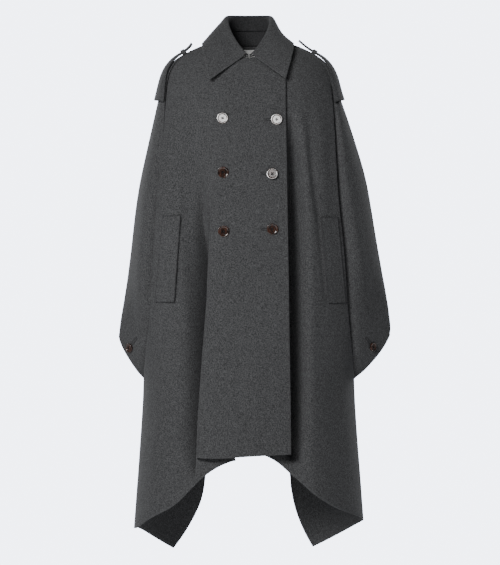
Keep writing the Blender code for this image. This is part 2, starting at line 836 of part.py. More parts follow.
def build():
    right_tree = cloth_object("right_front", right_front_grid(), wool("right_front"), CLOTH, from_axis)
    left_tree = cloth_object("left_front", left_front_grid(), wool("left_front"), CLOTH, from_axis)
    back_tree = cloth_object("back", back_grid(), wool("back"), CLOTH, from_axis)
    arm_trees = {}
    for side in ("right", "left"):
        name = side + "_arm_panel"
        arm_trees[side] = cloth_object(name, arm_grid(side), wool(name), CLOTH, from_axis)

    sections = collar_sections()
    stand = [section[0] for section in sections]
    fall = [section[1] for section in sections]
    cloth_object(
        "collar_stand", stand, wool("collar_stand"), COLLAR_CLOTH,
        lambda centre: (-centre.x, -centre.y, 0.0),
    )
    cloth_object(
        "collar_fall", fall, wool("collar_fall"), COLLAR_CLOTH,
        lambda centre: (0.0, centre.y, 1.0),
    )

    for side in ("right", "left"):
        name = side + "_shoulder_strap"
        cloth_object(
            name, strap_rows(side), wool(name), STRAP_CLOTH,
            lambda centre: (centre.x, 0.0, 0.2), offset=1.0,
        )
        name = side + "_strap_loop"
        cloth_object(
            name, loop_rows(side), wool(name), LOOP_CLOTH,
            lambda centre: (centre.x, 0.0, 0.2), offset=1.0,
        )
        welt = dict(zip(WELT_COLUMNS, WELTS[side]))
        corners = (
            (welt["inner_top"], welt["top"]), (welt["outer_top"], welt["top"]),
            (welt["inner_bottom"], welt["bottom"]), (welt["outer_bottom"], welt["bottom"]),
        )
        panel = right_tree if side == "right" else left_tree
        name = side + "_pocket_welt"
        cloth_object(
            name, patch_rows(panel, corners, 10, 5, WELT_STAND), wool(name), WELT_CLOTH,
            from_axis, offset=1.0,
        )

    for name, (x, z) in FRONT_BUTTONS.items():
        place, normal = on_panel(right_tree, x, z)
        button(name, place, normal, FRONT_BUTTON_WIDTH)
    for side, (x, z) in ARM_BUTTONS.items():
        place, normal = on_panel(arm_trees[side], x, z)
        button(side + "_arm_button", place, normal, ARM_BUTTON_WIDTH)

    label_rows = []
    for i in range(4):
        line = []
        for j in range(5):
            x = blend(-LABEL_WIDTH / 2, LABEL_WIDTH / 2, j / 4)
            z = blend(LABEL_TOP, LABEL_BOTTOM, i / 3)
            place, normal = on_panel(back_tree, x, z, start_y=0.0)
            line.append(np.array(place - normal * (CLOTH + LAID_ON_GAP) * MM) / MM)
        label_rows.append(line)
    cloth_object(
        "neck_label", label_rows, material_named("label_cloth", LABEL_GREY, 0.7), LABEL_CLOTH,
        lambda centre: (0.0, -1.0, 0.0), offset=1.0,
    )


build()
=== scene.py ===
import math

import bmesh
import bpy
import numpy as np
from mathutils import Matrix, Vector, noise
from mathutils.bvhtree import BVHTree
from mathutils.kdtree import KDTree


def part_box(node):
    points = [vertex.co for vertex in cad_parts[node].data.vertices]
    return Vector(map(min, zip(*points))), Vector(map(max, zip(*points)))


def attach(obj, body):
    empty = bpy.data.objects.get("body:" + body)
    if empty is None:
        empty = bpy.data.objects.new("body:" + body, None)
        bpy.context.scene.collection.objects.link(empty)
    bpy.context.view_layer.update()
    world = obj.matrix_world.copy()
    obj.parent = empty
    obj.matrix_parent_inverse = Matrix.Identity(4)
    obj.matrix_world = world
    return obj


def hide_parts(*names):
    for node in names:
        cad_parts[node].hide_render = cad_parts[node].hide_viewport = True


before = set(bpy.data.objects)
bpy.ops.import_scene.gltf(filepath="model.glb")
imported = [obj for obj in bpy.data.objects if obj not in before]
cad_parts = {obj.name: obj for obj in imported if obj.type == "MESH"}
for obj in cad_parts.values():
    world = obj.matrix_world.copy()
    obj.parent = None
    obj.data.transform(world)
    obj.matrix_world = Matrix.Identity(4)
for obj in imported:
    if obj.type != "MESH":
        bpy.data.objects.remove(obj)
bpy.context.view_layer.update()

MM = 0.001


# Camera. The coat is seen straight from the front, from half its height, through a long lens.
# The photograph is 500 by 565 pixels, and one pixel is 2.35 mm at the coat's middle plane.
PHOTO_HEIGHT = 565
PIXEL = 2.35 * MM
CAMERA_DISTANCE = 4.5
CAMERA_HEIGHT = -0.5534
SENSOR = 36.0

camera_data = bpy.data.cameras.new("camera")
camera_data.sensor_width = SENSOR
camera_data.lens = SENSOR * CAMERA_DISTANCE / (PHOTO_HEIGHT * PIXEL)
camera = bpy.data.objects.new("camera", camera_data)
bpy.context.scene.collection.objects.link(camera)
camera.location = (PIXEL, -CAMERA_DISTANCE, CAMERA_HEIGHT)
camera.rotation_euler = (math.radians(90), 0, 0)
bpy.context.scene.camera = camera


# Studio. A pale floor under the coat, which hangs clear of it, and pale air all round. Near the
# coat the floor takes light and shadow. Further out it fades into the same tone as the air.
FLOOR_HEIGHT = -1.42
FLOOR_SIZE = 40.0
FLOOR_COLOUR = (0.86, 0.87, 0.89)
AIR_COLOUR = (0.83, 0.875, 1.0)
AIR_BRIGHTNESS = 5.95
AIR_LIGHT = 0.03
FADE_STARTS = 0.5
FADE_ENDS = 1.3


def plain_material(name, colour, roughness):
    material = bpy.data.materials.new(name)
    material.use_nodes = True
    shader = material.node_tree.nodes["Principled BSDF"]
    shader.inputs["Base Color"].default_value = (*colour, 1.0)
    shader.inputs["Roughness"].default_value = roughness
    return material


def make_floor_paper():
    """Pale paper near the coat, and the tone of the air beyond, for whoever looks at it."""
    material = plain_material("studio_paper", FLOOR_COLOUR, 0.9)
    tree = material.node_tree
    paper = tree.nodes["Principled BSDF"]
    ends = tree.nodes["Material Output"]
    coordinates = tree.nodes.new("ShaderNodeTexCoord")
    distance = tree.nodes.new("ShaderNodeVectorMath")
    distance.operation = "LENGTH"
    fade = tree.nodes.new("ShaderNodeMapRange")
    fade.interpolation_type = "SMOOTHSTEP"
    fade.inputs["From Min"].default_value = FADE_STARTS
    fade.inputs["From Max"].default_value = FADE_ENDS
    light_path = tree.nodes.new("ShaderNodeLightPath")
    seen = tree.nodes.new("ShaderNodeMath")
    seen.operation = "MULTIPLY"
    air = tree.nodes.new("ShaderNodeEmission")
    air.inputs["Color"].default_value = (*AIR_COLOUR, 1.0)
    air.inputs["Strength"].default_value = AIR_BRIGHTNESS
    both = tree.nodes.new("ShaderNodeMixShader")
    tree.links.new(coordinates.outputs["Object"], distance.inputs[0])
    tree.links.new(distance.outputs["Value"], fade.inputs["Value"])
    tree.links.new(fade.outputs["Result"], seen.inputs[0])
    tree.links.new(light_path.outputs["Is Camera Ray"], seen.inputs[1])
    tree.links.new(seen.outputs["Value"], both.inputs["Fac"])
    tree.links.new(paper.outputs["BSDF"], both.inputs[1])
    tree.links.new(air.outputs["Emission"], both.inputs[2])
    tree.links.new(both.outputs["Shader"], ends.inputs["Surface"])
    return material


bpy.ops.object.select_all(action="DESELECT")
bpy.ops.mesh.primitive_plane_add(size=FLOOR_SIZE, location=(0, 0, FLOOR_HEIGHT))
stage = bpy.context.object
stage.name = "floor"
stage.data.materials.append(make_floor_paper())


def soft_light(name, place, aim, size, power):
    data = bpy.data.lights.new(name, "AREA")
    data.shape = "RECTANGLE"
    data.size, data.size_y = size
    data.energy = power
    light = bpy.data.objects.new(name, data)
    bpy.context.scene.collection.objects.link(light)
    light.location = place
    light.rotation_euler = (Vector(aim) - Vector(place)).to_track_quat("-Z", "Y").to_euler()


soft_light("key", (-1.85, -3.9, 1.25), (0.2, 0, -0.6), (1.7, 1.0), 208)
soft_light("front_card", (-0.5, -4.4, 0.9), (0.0, 0, -0.35), (1.1, 0.6), 30)
soft_light("behind_left", (-2.6, 2.9, 1.2), (0, 0, -0.5), (1.2, 1.8), 80)
soft_light("behind_right", (2.8, 2.7, 0.9), (0, 0, -0.6), (1.2, 1.8), 100)
world = bpy.data.worlds.new("studio_air")
world.use_nodes = True
air_tree = world.node_tree
dim = air_tree.nodes["Background"]
dim.inputs["Color"].default_value = (*AIR_COLOUR, 1.0)
dim.inputs["Strength"].default_value = AIR_LIGHT
bright = air_tree.nodes.new("ShaderNodeBackground")
bright.inputs["Color"].default_value = (*AIR_COLOUR, 1.0)
bright.inputs["Strength"].default_value = AIR_BRIGHTNESS
seen_air = air_tree.nodes.new("ShaderNodeMixShader")
air_path = air_tree.nodes.new("ShaderNodeLightPath")
air_tree.links.new(air_path.outputs["Is Camera Ray"], seen_air.inputs["Fac"])
air_tree.links.new(dim.outputs["Background"], seen_air.inputs[1])
air_tree.links.new(bright.outputs["Background"], seen_air.inputs[2])
air_tree.links.new(seen_air.outputs["Shader"], air_tree.nodes["World Output"].inputs["Surface"])
bpy.context.scene.world = world


# Wool. Felted coating wool, grey melange: dark and light fibres mixed before spinning, brushed down
# to a short nap, so that up close it is speckled and at an angle it catches a pale sheen.
WOOL_DARK = (0.022, 0.0222, 0.0230)
WOOL_LIGHT = (0.078, 0.079, 0.081)
SPECK_SCALE = 430.0
FIBRE_SCALE = 900.0
CLOUD_SCALE = 7.0
SPECK_SHARE = 0.6
CLOUD_SHARE = 0.22


def add_node(tree, kind, **settings):
    node = tree.nodes.new(kind)
    for key, value in settings.items():
        setattr(node, key, value)
    return node


def shader_group(name, sockets_in, sockets_out):
    """An empty node group with its named sockets, and its input and output nodes."""
    group = bpy.data.node_groups.new(name, "ShaderNodeTree")
    for label, kind in sockets_in:
        group.interface.new_socket(label, in_out="INPUT", socket_type=kind)
    for label, kind in sockets_out:
        group.interface.new_socket(label, in_out="OUTPUT", socket_type=kind)
    return group, group.nodes.new("NodeGroupInput"), group.nodes.new("NodeGroupOutput")


def noise_at(tree, vector, scale, detail, roughness=0.5):
    texture = add_node(tree, "ShaderNodeTexNoise")
    texture.inputs["Detail"].default_value = detail
    texture.inputs["Roughness"].default_value = roughness
    tree.links.new(vector, texture.inputs["Vector"])
    if isinstance(scale, float):
        texture.inputs["Scale"].default_value = scale
    else:
        tree.links.new(scale, texture.inputs["Scale"])
    return texture.outputs["Fac"]


def arithmetic(tree, operation, a, b):
    """A Math node on two sockets or numbers."""
    maths = add_node(tree, "ShaderNodeMath", operation=operation)
    for socket, value in zip(maths.inputs, (a, b)):
        if isinstance(value, float):
            socket.default_value = value
        else:
            tree.links.new(value, socket)
    return maths.outputs[0]


def make_melange():
    """Specks of light and dark fibre with a slow cloudiness over them, and the nap's height."""
    group, given, put = shader_group(
        "wool_melange",
        [
            ("Vector", "NodeSocketVector"), ("Speck Scale", "NodeSocketFloat"),
            ("Fibre Scale", "NodeSocketFloat"), ("Dark", "NodeSocketColor"),
            ("Light", "NodeSocketColor"),
        ],
        [("Colour", "NodeSocketColor"), ("Height", "NodeSocketFloat"), ("Cloud", "NodeSocketFloat")],
    )
    specks = noise_at(group, given.outputs["Vector"], given.outputs["Speck Scale"], 2.0, 0.6)
    along = add_node(group, "ShaderNodeMapping")
    along.inputs["Scale"].default_value = (1.0, 1.0, 0.3)
    along.inputs["Rotation"].default_value = (0.0, 0.35, 0.0)
    group.links.new(given.outputs["Vector"], along.inputs["Vector"])
    fibres = noise_at(group, along.outputs["Vector"], given.outputs["Fibre Scale"], 3.0, 0.7)
    cloud = noise_at(group, given.outputs["Vector"], CLOUD_SCALE, 3.0)
    mixed = arithmetic(group, "MULTIPLY_ADD", specks, SPECK_SHARE)
    fibre_part = arithmetic(group, "MULTIPLY", fibres, 1 - SPECK_SHARE)
    group.links.new(fibre_part, mixed.node.inputs[2])
    spread = add_node(group, "ShaderNodeMapRange", interpolation_type="SMOOTHSTEP")
    spread.inputs["From Min"].default_value = 0.36
    spread.inputs["From Max"].default_value = 0.66
    group.links.new(mixed, spread.inputs["Value"])
    clouded = arithmetic(group, "MULTIPLY_ADD", cloud, CLOUD_SHARE)
    group.links.new(spread.outputs["Result"], clouded.node.inputs[2])
    level = arithmetic(group, "SUBTRACT", clouded, CLOUD_SHARE / 2)
    colours = add_node(group, "ShaderNodeMix", data_type="RGBA", clamp_factor=True)
    group.links.new(level, colours.inputs["Factor"])
    group.links.new(given.outputs["Dark"], colours.inputs[6])
    group.links.new(given.outputs["Light"], colours.inputs[7])
    group.links.new(colours.outputs[2], put.inputs["Colour"])
    group.links.new(mixed, put.inputs["Height"])
    group.links.new(cloud, put.inputs["Cloud"])
    return group


SEAM_REACH = 12 * MM


def make_edge_seam():
    """The felled edge of double-faced wool: a full lip, then a stitched groove 6 mm from the edge."""
    group, given, put = shader_group(
        "edge_seam", [("From Edge", "NodeSocketFloat")],
        [("Height", "NodeSocketFloat"), ("Painted Edge Highlight And Shadow", "NodeSocketFloat")],
    )
    share = arithmetic(group, "DIVIDE", given.outputs["From Edge"], SEAM_REACH)
    ramp = add_node(group, "ShaderNodeValToRGB")
    stops = [(0.0, 0.45), (0.12, 0.85), (0.38, 0.85), (0.5, 0.15), (0.6, 0.5), (1.0, 0.6)]
    ramp.color_ramp.interpolation = "B_SPLINE"
    elements = ramp.color_ramp.elements
    while len(elements) < len(stops):
        elements.new(0.5)
    for element, (place, value) in zip(elements, stops):
        element.position = place
        element.color = (value, value, value, 1.0)
    group.links.new(share, ramp.inputs["Fac"])
    group.links.new(ramp.outputs["Color"], put.inputs["Height"])
    # Painted edge light and shade: full at the cut edge, fading out 3.6 mm in.
    edge_paint = add_node(group, "ShaderNodeMapRange")
    edge_paint.inputs["From Min"].default_value = 0.0
    edge_paint.inputs["From Max"].default_value = 0.3
    edge_paint.inputs["To Min"].default_value = 1.0
    edge_paint.inputs["To Max"].default_value = 0.0
    group.links.new(share, edge_paint.inputs["Value"])
    group.links.new(edge_paint.outputs["Result"], put.inputs["Painted Edge Highlight And Shadow"])
    return group


MELANGE = make_melange()
EDGE_SEAM = make_edge_seam()


def make_wool(name, painted_edge_tone, painted_edge_strength, dark=WOOL_DARK, light=WOOL_LIGHT):
    """The coat's wool, with a painted tone along its free cut edges: a painted highlight where the tone
    is lighter, a painted shadow line where it is darker.
    """
    material = bpy.data.materials.new(name)
    material.use_nodes = True
    tree = material.node_tree
    shader = tree.nodes["Principled BSDF"]
    coordinates = add_node(tree, "ShaderNodeTexCoord")
    melange = add_node(tree, "ShaderNodeGroup", node_tree=MELANGE)
    melange.inputs["Speck Scale"].default_value = SPECK_SCALE
    melange.inputs["Fibre Scale"].default_value = FIBRE_SCALE
    melange.inputs["Dark"].default_value = (*dark, 1.0)
    melange.inputs["Light"].default_value = (*light, 1.0)
    tree.links.new(coordinates.outputs["Object"], melange.inputs["Vector"])
    from_edge = add_node(tree, "ShaderNodeAttribute", attribute_name="from_edge")
    seam = add_node(tree, "ShaderNodeGroup", node_tree=EDGE_SEAM)
    tree.links.new(from_edge.outputs["Fac"], seam.inputs["From Edge"])
    # The given edge tone is painted over the melange along the cut edges: lighter for a painted
    # highlight, darker for a painted shadow line.
    edge_paint = add_node(tree, "ShaderNodeMix", data_type="RGBA")
    edge_paint.inputs[7].default_value = (*painted_edge_tone, 1.0)
    edge_paint_amount = arithmetic(tree, "MULTIPLY", seam.outputs["Painted Edge Highlight And Shadow"], painted_edge_strength)
    tree.links.new(edge_paint_amount, edge_paint.inputs["Factor"])
    tree.links.new(melange.outputs["Colour"], edge_paint.inputs[6])
    tree.links.new(edge_paint.outputs[2], shader.inputs["Base Color"])
    seam_bump = add_node(tree, "ShaderNodeBump")
    seam_bump.inputs["Distance"].default_value = 0.0012
    seam_bump.inputs["Strength"].default_value = 0.8
    tree.links.new(seam.outputs["Height"], seam_bump.inputs["Height"])
    nap = add_node(tree, "ShaderNodeBump")
    nap.inputs["Distance"].default_value = 0.0009
    nap.inputs["Strength"].default_value = 0.55
    tree.links.new(melange.outputs["Height"], nap.inputs["Height"])
    tree.links.new(seam_bump.outputs["Normal"], nap.inputs["Normal"])
    tree.links.new(nap.outputs["Normal"], shader.inputs["Normal"])
    rough = add_node(tree, "ShaderNodeMapRange")
    rough.inputs["To Min"].default_value = 0.86
    rough.inputs["To Max"].default_value = 1.0
    tree.links.new(melange.outputs["Cloud"], rough.inputs["Value"])
    tree.links.new(rough.outputs["Result"], shader.inputs["Roughness"])
    shader.inputs["Sheen Weight"].default_value = 0.10
    shader.inputs["Sheen Roughness"].default_value = 0.5
    shader.inputs["Sheen Tint"].default_value = (0.75, 0.77, 0.8, 1.0)
    shader.inputs["Specular IOR Level"].default_value = 0.2
    return material


# Plain wool: its free cut edges are painted lighter, a painted highlight where the rounded edge would
# catch the light.
WOOL = make_wool("felted_wool", (0.075, 0.076, 0.078), 0.30)
# Wool for the straps and welts: its cut edges are painted near black, a painted shadow line round each
# strip.
EDGE_SHADOWED_WOOL = make_wool("felted_wool_painted_edge_shadow", (0.006, 0.006, 0.007), 0.45)


# Back. One broad panel that hangs from the neck and the shoulders and falls to two right-angled
# corners, the lowest points of the coat. Its cut edge is felled, so it has no bulky hem.
RIM_WIDTH = 4.2 * MM
RIM_FOLD = math.radians(55)
TIP_TURN = math.radians(25)
EDGE_ROUND = 0.85 * MM
FOLD_WALL = 3.0 * MM
FOLD_REACH = 12.0 * MM
FINE_LEVELS = 2
BODY_HALF_WIDTH = 0.27
BODY_HALF_DEPTH = 0.17
SIDE_STARTS = 0.2
NEAR_SEAM = 1.0 * MM
PAST_SEAM = 0.1 * MM
HEM_EDGE_BELOW = -0.925
SWELL_LENGTH = 2.2


def rim_faces(mesh_data):
    """The narrow faces round a cloth wall's cut edge."""
    found = []
    for face in mesh_data.faces:
        if len(face.edges) != 4:
            continue
        for a, b in ((0, 2), (1, 3)):
            long_sides = (face.edges[a], face.edges[b])
            apart = (
                (long_sides[0].verts[0].co + long_sides[0].verts[1].co) / 2
                - (long_sides[1].verts[0].co + long_sides[1].verts[1].co) / 2
            ).length
            turned = all(
                len(edge.link_faces) == 2 and edge.calc_face_angle_signed(0) > RIM_FOLD
                for edge in long_sides
            )
            if turned and apart < RIM_WIDTH:
                found.append((face, long_sides))
                break
    return found


def cloth_copy(name, node, levels=FINE_LEVELS):
    """A finer, smoother copy of a cut piece's solid, its cut edges kept crisp."""
    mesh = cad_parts[node].data.copy()
    mesh.name = name
    piece = bpy.data.objects.new(name, mesh)
    bpy.context.scene.collection.objects.link(piece)
    mesh_data = bmesh.new()
    mesh_data.from_mesh(mesh)
    bmesh.ops.remove_doubles(mesh_data, verts=mesh_data.verts[:], dist=0.00001)
    bmesh.ops.join_triangles(
        mesh_data, faces=mesh_data.faces[:], angle_face_threshold=math.radians(40),
        angle_shape_threshold=math.radians(60),
    )
    edge_crease = mesh_data.edges.layers.float.new("crease_edge")
    vert_crease = mesh_data.verts.layers.float.new("crease_vert")
    creased = set()
    for _, long_sides in rim_faces(mesh_data):
        creased.update(long_sides)
    for edge in creased:
        edge[edge_crease] = 1.0
    for vert in mesh_data.verts:
        here = [edge for edge in vert.link_edges if edge in creased]
        if len(here) == 2:
            ways = [(edge.other_vert(vert).co - vert.co).normalized() for edge in here]
            if ways[0].angle(-ways[1]) > TIP_TURN:
                vert[vert_crease] = 1.0
        elif len(here) != 0:
            vert[vert_crease] = 1.0
    mesh_data.to_mesh(mesh)
    mesh_data.free()
    finer = piece.modifiers.new("Finer", "SUBSURF")
    finer.levels = levels
    finer.render_levels = levels
    finer.boundary_smooth = "PRESERVE_CORNERS"
    apply_all(piece)
    return piece


def apply_all(piece):
    bpy.ops.object.select_all(action="DESELECT")
    piece.select_set(True)
    bpy.context.view_layer.objects.active = piece
    for modifier in list(piece.modifiers):
        bpy.ops.object.modifier_apply(modifier=modifier.name)


def vertex_array(piece):
    flat = np.empty(len(piece.data.vertices) * 3)
    piece.data.vertices.foreach_get("co", flat)
    return flat.reshape(-1, 3)


def set_vertices(piece, points):
    piece.data.vertices.foreach_set("co", points.ravel())
    piece.data.update()


def outward(points):
    """Level directions away from the coat's middle, as square to its rings as an ellipse's are."""
    across, along = points[:, 0] / BODY_HALF_WIDTH ** 2, points[:, 1] / BODY_HALF_DEPTH ** 2
    away = np.stack([across, along, np.zeros(len(points))], 1)
    lengths = np.linalg.norm(away, axis=1)
    return away / np.maximum(lengths, 1e-6)[:, None]


def press_creases(piece, creases, front=True):
    """Soft ridges and troughs along given lines. Each row of a line holds x, z, how wide the
    crease is and how far it stands out (above 0) or sinks in (below 0), in mm."""
    points = vertex_array(piece)
    side = points[:, 1] < 0 if front else points[:, 1] > 0
    push = np.zeros(len(points))
    for crease in creases:
        rows = np.array(crease, dtype=float) * MM
        nearest = np.full(len(points), 1e9)
        value = np.zeros(len(points))
        widths = np.ones(len(points))
        for i in range(len(rows) - 1):
            start, end = rows[i], rows[i + 1]
            along = end[:2] - start[:2]
            offset = points[:, [0, 2]] - start[:2]
            share = np.clip(offset @ along / (along @ along), 0, 1)
            far = np.linalg.norm(offset - share[:, None] * along, axis=1)
            closer = far < nearest
            smooth = share * share * (3 - 2 * share)
            nearest = np.where(closer, far, nearest)
            value = np.where(closer, start[3] + (end[3] - start[3]) * smooth, value)
            widths = np.where(closer, start[2] + (end[2] - start[2]) * smooth, widths)
        push += value * np.exp(-(nearest / widths) ** 2)
    points += outward(points) * (push * side)[:, None]
    set_vertices(piece, points)


def cut_finer(piece, is_near):
    """Cuts the faces that are near a fold into quarters, twice, so that the fold can be sharp."""
    mesh_data = bmesh.new()
    mesh_data.from_mesh(piece.data)
    for _ in range(2):
        edges = {edge for face in mesh_data.faces if is_near(face.calc_center_median())
                 for edge in face.edges}
        bmesh.ops.subdivide_edges(mesh_data, edges=list(edges), cuts=1, use_grid_fill=True, smooth=0)
    mesh_data.to_mesh(piece.data)
    mesh_data.free()


def press_pleat(piece, pleat):
    """Sinks the cloth to the left of a fold, deepest at the fold itself, so its edge stands sharp."""
    x, z, depth, width = (np.array(column, dtype=float) * MM for column in zip(*pleat))
    order = np.argsort(z)

    def is_near(spot):
        fold = np.interp(spot.z, z[order], x[order])
        return spot.y < 0 and z.min() < spot.z < z.max() and abs(spot.x - fold) < FOLD_REACH

    cut_finer(piece, is_near)
    points = vertex_array(piece)
    heights = points[:, 2]
    fold = np.interp(heights, z[order], x[order])
    deep = np.interp(heights, z[order], depth[order])
    wide = np.interp(heights, z[order], width[order])
    left_of = fold - points[:, 0]
    falling = np.exp(-np.maximum(left_of - FOLD_WALL, 0) / wide)
    wall = np.clip(left_of / FOLD_WALL, 0, 1)
    push = -deep * np.where(left_of > FOLD_WALL, falling, wall * wall * (3 - 2 * wall))
    points += outward(points) * (push * (points[:, 1] < 0))[:, None]
    set_vertices(piece, points)


def ripple(piece, size, height, seed):
    """The slow unevenness of steamed wool: a smooth random swell, the same on both faces."""
    points = vertex_array(piece)
    away = outward(points)
    swell = [
        noise.noise(Vector((x / size + seed, z / (size * SWELL_LENGTH) + seed, y / size)))
        for x, y, z in points
    ]
    points += away * (np.array(swell) * height)[:, None]
    set_vertices(piece, points)


def measure_from_edge(piece, is_free):
    """Writes how far each point lies from the nearest free cut edge, for the felled edge's bump and its
    painted edge highlight and shadow.
    """
    mesh_data = bmesh.new()
    mesh_data.from_mesh(piece.data)
    spots = []
    for edge in mesh_data.edges:
        if len(edge.link_faces) == 2 and edge.calc_face_angle_signed(0) > RIM_FOLD:
            a, b = (vert.co for vert in edge.verts)
            if is_free(a) and is_free(b):
                steps = max(1, int((a - b).length / (2 * MM)))
                spots += [a.lerp(b, i / steps) for i in range(steps + 1)]
    mesh_data.free()
    tree = KDTree(len(spots))
    for i, spot in enumerate(spots):
        tree.insert(spot, i)
    tree.balance()
    distances = []
    for vert in piece.data.vertices:
        far = tree.find(vert.co)[2] if spots else 1.0
        distances.append(min(far, SEAM_REACH))
    attribute = piece.data.attributes.new("from_edge", "FLOAT", "POINT")
    attribute.data.foreach_set("value", distances)


def finish_cloth(piece, node, is_free=lambda spot: False, wool=WOOL):
    """Rounds the cut edges, gives the wool, hides the solid it was cut from and hangs the piece on the
    root body.
    """
    measure_from_edge(piece, is_free)
    rounded = piece.modifiers.new("Rounded", "BEVEL")
    rounded.width = EDGE_ROUND
    rounded.segments = 2
    rounded.limit_method = "ANGLE"
    rounded.angle_limit = RIM_FOLD
    apply_all(piece)
    piece.data.shade_smooth()
    piece.data.materials.clear()
    piece.data.materials.append(wool)
    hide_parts(node)
    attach(piece, "root")


def close_side_seam(piece, past):
    """Draws a panel's side edge just past the seam line, so that no light comes through the seam."""
    points = vertex_array(piece)
    at_seam = (np.abs(points[:, 1]) < NEAR_SEAM) & (np.abs(points[:, 0]) > SIDE_STARTS)
    points[at_seam, 1] = past
    set_vertices(piece, points)


def at_hem(spot):
    return spot.z < HEM_EDGE_BELOW


BACK_CREASES = [
    [(-60, -330, 30, 0), (-68, -560, 34, 4), (-80, -800, 30, 7), (-84, -960, 26, 6)],
    [(-10, -420, 30, 0), (-4, -640, 30, -4), (2, -940, 26, -6)],
    [(70, -300, 32, 0), (76, -600, 34, 4), (82, -820, 30, 6), (86, -960, 26, 6)],
    [(150, -380, 26, 0), (158, -640, 26, -4), (166, -1000, 24, -5)],
    [(-150, -360, 26, 0), (-160, -660, 26, -4), (-168, -1020, 24, -5)],
    [(-30, -90, 22, 2), (-90, -150, 24, 2), (-140, -230, 20, 0)],
    [(34, -96, 22, 2), (96, -150, 24, 2), (146, -240, 20, 0)],
]

back = cloth_copy("back_panel", "back")
press_creases(back, BACK_CREASES, front=False)
ripple(back, size=0.11, height=2.2 * MM, seed=3.1)
close_side_seam(back, -PAST_SEAM)
finish_cloth(
    back, "back", at_hem
)


# Right front. The wearer's right panel crosses the body. Below the chest it is folded on itself, so
# that a long flap lies over a deep inverted pleat. Its free edge and its hem are felled.
RIGHT_FRONT_CREASES = [
    [(-104, -310, 9, 0), (-106, -360, 9, -7), (-109, -428, 10, -10), (-108, -482, 10, -8),
     (-106, -560, 10, 0)],
    [(-126, -600, 17, 0), (-132, -760, 17, -6), (-138, -900, 17, -5), (-140, -980, 18, 0)],
    [(-172, -170, 22, 0), (-176, -260, 24, 3), (-182, -360, 22, 3), (-190, -470, 18, 0)],
    [(-146, -330, 10, 0), (-146, -400, 11, -2), (-150, -470, 10, 0)],
    [(-150, -730, 12, 0), (-166, -800, 13, -3), (-178, -900, 14, 0)],
    [(-196, -760, 18, 0), (-206, -900, 20, 3), (-214, -1060, 18, 3)],
    [(-86, -170, 10, 0), (-88, -250, 10, 2), (-90, -420, 9, 2), (-96, -560, 8, 0)],
    [(0, -560, 30, 0), (6, -720, 36, 2), (10, -940, 30, 3)],
    [(-150, -392, 4, 0), (-152, -404, 4, -1.5), (-166, -596, 4, -1.5), (-168, -608, 4, 0)],
]


# The inverted pleat at the flap's left: x and height of its fold, its depth and how far it spreads.
PLEAT = [
    (-86, -317, 0, 16), (-88, -372, 6, 15), (-89, -428, 24, 16), (-92, -482, 52, 19),
    (-95, -540, 72, 20), (-97, -593, 84, 20), (-101, -642, 84, 18), (-110, -756, 78, 15),
    (-118, -870, 66, 13), (-120, -945, 50, 12), (-121, -985, 12, 10), (-121, -1020, 3, 10),
]


FLAP_EDGE_BEYOND = 0.06
FLAP_EDGE_BELOW = -0.09


def is_flap_edge(spot):
    return at_hem(spot) or (spot.x > FLAP_EDGE_BEYOND and spot.z < FLAP_EDGE_BELOW)


right_front = cloth_copy("right_front_panel", "right_front")
press_creases(right_front, RIGHT_FRONT_CREASES)
press_pleat(right_front, PLEAT)
ripple(right_front, size=0.10, height=2.0 * MM, seed=7.7)
close_side_seam(right_front, PAST_SEAM)
finish_cloth(
    right_front, "right_front",
    is_flap_edge,
)


# Left front. The wearer's left panel runs on under the flap, in the flap's shadow, and comes out
# from under it in one soft vertical crest before it turns to the side.
LEFT_FRONT_CREASES = [
    [(98, -150, 6, 0), (101, -200, 8, -8), (103, -260, 12, -24), (106, -420, 16, -38),
     (106, -700, 17, -40), (105, -860, 17, -36), (104, -940, 16, -28)],
    [(131, -150, 9, 0), (138, -210, 9, -3), (142, -270, 9, -5), (151, -340, 9, -5),
     (160, -402, 8, -3)],
    [(118, -130, 13, 0), (125, -220, 13, 4), (130, -340, 14, 5), (134, -480, 16, 5),
     (136, -700, 16, 4), (136, -900, 16, 2)],
    [(160, -130, 12, 0), (166, -210, 12, 3), (172, -320, 11, 2), (180, -390, 10, 0)],
    [(112, -620, 14, -2), (110, -780, 14, -4), (112, -940, 14, -3)],
    [(190, -700, 20, 0), (200, -860, 22, -3), (214, -1040, 20, -3)],
    [(157, -396, 4, 0), (158, -406, 4, -3), (176, -598, 4, -3), (178, -612, 4, 0)],
]

left_front = cloth_copy("left_front_panel", "left_front")
press_creases(left_front, LEFT_FRONT_CREASES)
ripple(left_front, size=0.10, height=1.8 * MM, seed=1.9)
close_side_seam(left_front, PAST_SEAM)
finish_cloth(
    left_front, "left_front", at_hem
)


# Arm panels. Two cape sleeves: each is one piece let in between front and back at the side, open
# along its lower edge for the hand and pinched together there by a button.
ARM_CREASES = {
    "right": [
        [(-232, -330, 16, 0), (-240, -440, 18, 4), (-250, -560, 18, 4), (-262, -660, 14, 0)],
        [(-214, -260, 12, 0), (-222, -380, 12, -3), (-232, -520, 12, -2), (-240, -640, 10, 0)],
        [(-262, -560, 10, 0), (-270, -640, 10, -3), (-268, -700, 9, 0)],
        [(-200, -150, 4, 0), (-208, -250, 4, -4), (-228, -500, 4, -10), (-234, -620, 5, -12),
         (-245, -769, 5, -10)],
    ],
    "left": [
        [(226, -300, 12, 0), (238, -400, 13, 4), (254, -500, 14, 4), (268, -600, 12, 0)],
        [(222, -340, 9, 0), (228, -450, 10, -3), (240, -560, 10, -3), (252, -660, 9, 0)],
        [(286, -520, 12, 0), (296, -620, 12, -3), (292, -690, 10, 0)],
        [(190, -84, 5, 0), (198, -120, 6, -12), (202, -196, 6, -20), (211, -333, 6, -24),
         (223, -450, 6, -24), (228, -515, 6, -24), (232, -599, 6, -24), (239, -662, 6, -20),
         (247, -769, 5, -10)],
    ],
}
